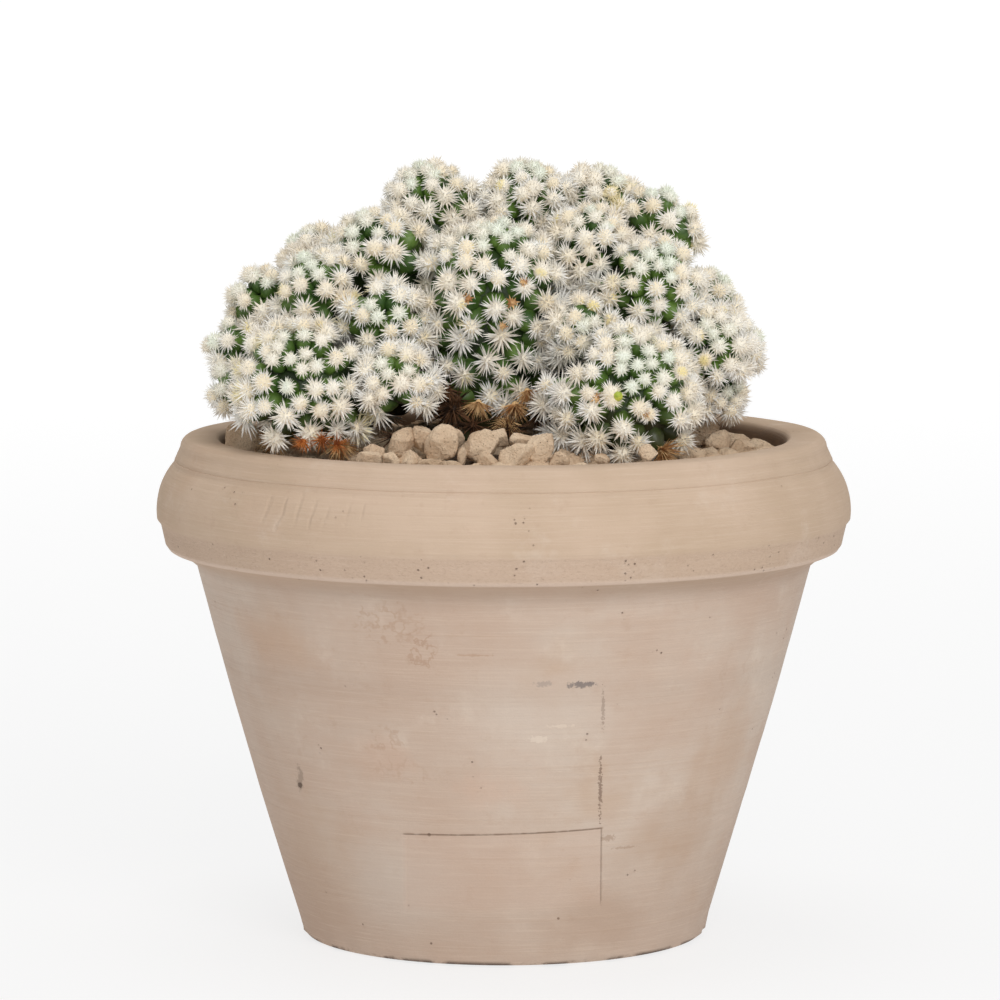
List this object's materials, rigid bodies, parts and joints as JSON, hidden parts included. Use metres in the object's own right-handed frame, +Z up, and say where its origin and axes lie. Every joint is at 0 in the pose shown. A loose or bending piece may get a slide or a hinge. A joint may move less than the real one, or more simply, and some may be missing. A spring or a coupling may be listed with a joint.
{
  "type": "potted cactus",
  "caption": "Clump of spiny mammillaria cactus heads with white starburst spines, growing in pale pumice gravel in a thick-rimmed terracotta pot.",
  "frame": {"origin": "middle of the pot's base, on the surface that the pot stands on", "axes": "+Z up along the pot's axis, and the side that the picture shows faces -Y"},
  "size_m": [0.14, 0.14, 0.1578],
  "materials": {
    "terracotta": "matte",
    "soil": "matte",
    "pumice": "matte",
    "cactus": "matte"
  },
  "bodies": {
    "root": {"pot": "terracotta", "soil": "soil", "gravel": "pumice", "head_centre": "cactus", "head_front_left": "cactus", "head_front_right": "cactus", "head_small_left": "cactus", "head_mid_left": "cactus", "head_mid_right": "cactus", "head_upper_left": "cactus", "head_left": "cactus", "head_left_outer": "cactus", "head_far_left": "cactus", "head_far_left_low": "cactus", "head_left_back": "cactus", "head_top_left": "cactus", "head_top": "cactus", "head_top_right": "cactus", "head_right_top": "cactus", "head_upper_middle": "cactus", "head_right": "cactus", "head_right_front": "cactus", "head_right_low": "cactus", "head_right_back": "cactus", "head_far_right": "cactus", "head_left_side": "cactus", "head_back_upper_left": "cactus", "head_back_upper": "cactus", "head_back_upper_right": "cactus", "head_back_left": "cactus", "head_back": "cactus", "head_back_right": "cactus", "head_right_side": "cactus"}
  },
  "joints": []
}
